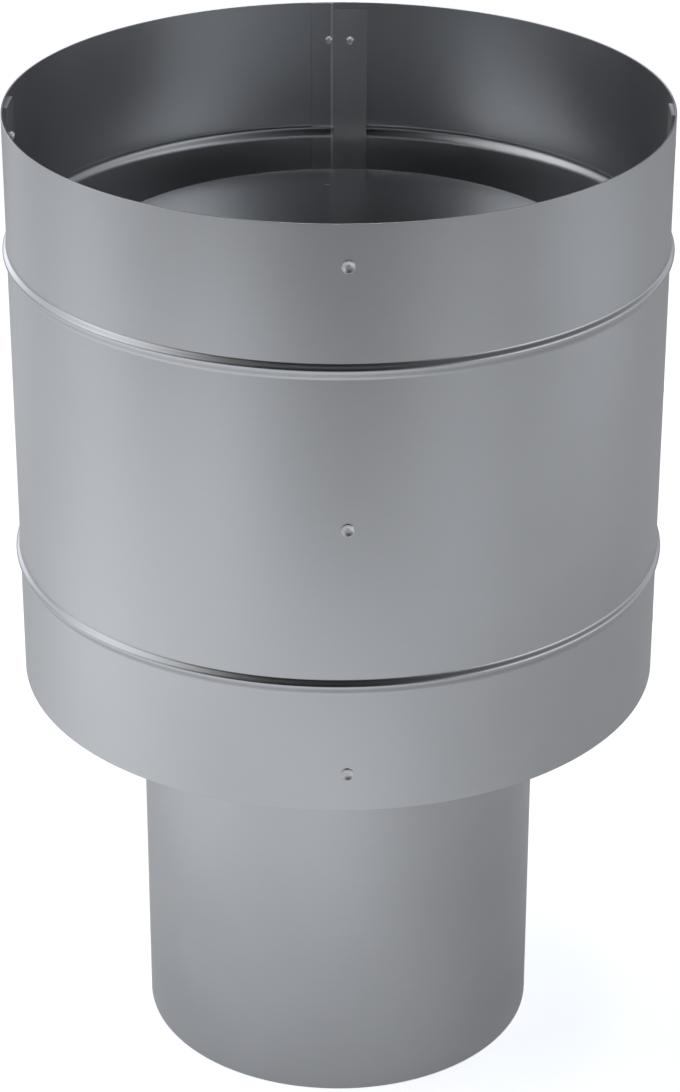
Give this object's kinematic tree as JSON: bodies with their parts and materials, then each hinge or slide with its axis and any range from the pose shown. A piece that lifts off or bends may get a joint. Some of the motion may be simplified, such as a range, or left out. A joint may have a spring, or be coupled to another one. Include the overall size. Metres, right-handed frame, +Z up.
{
  "type": "ventilation cowl",
  "caption": "Galvanised steel roof cowl: beaded round casing, open at the top, over a plain spigot pipe with a rain cap inside",
  "frame": {"origin": "centre of the pipe's lower end, in the plane of its cut edge", "axes": "+Z up along the pipe, front towards -Y, +X to the right seen from the front"},
  "size_m": [0.319, 0.319, 0.489],
  "materials": {
    "galvanised_sheet": "smooth satin zinc",
    "flat_bar": "satin zinc",
    "rivet_metal": "satin"
  },
  "bodies": {
    "root": {"casing": "galvanised_sheet", "pipe": "galvanised_sheet", "rain_cap": "galvanised_sheet", "strap_front": "flat_bar", "strap_right": "flat_bar", "strap_back": "flat_bar", "strap_left": "flat_bar", "upper_bracket_front": "flat_bar", "upper_bracket_right": "flat_bar", "upper_bracket_back": "flat_bar", "upper_bracket_left": "flat_bar", "lower_bracket_front": "flat_bar", "lower_bracket_right": "flat_bar", "lower_bracket_back": "flat_bar", "lower_bracket_left": "flat_bar", "cap_stay_front": "flat_bar", "cap_stay_right": "flat_bar", "cap_stay_back": "flat_bar", "cap_stay_left": "flat_bar", "strap_rivets_front": "rivet_metal", "strap_rivets_right": "rivet_metal", "strap_rivets_back": "rivet_metal", "strap_rivets_left": "rivet_metal", "casing_seam_rivets": "rivet_metal", "upper_bracket_rivets": "rivet_metal", "lower_bracket_rivets": "rivet_metal", "stay_foot_rivets": "rivet_metal", "cap_rivets": "rivet_metal"}
  },
  "joints": []
}
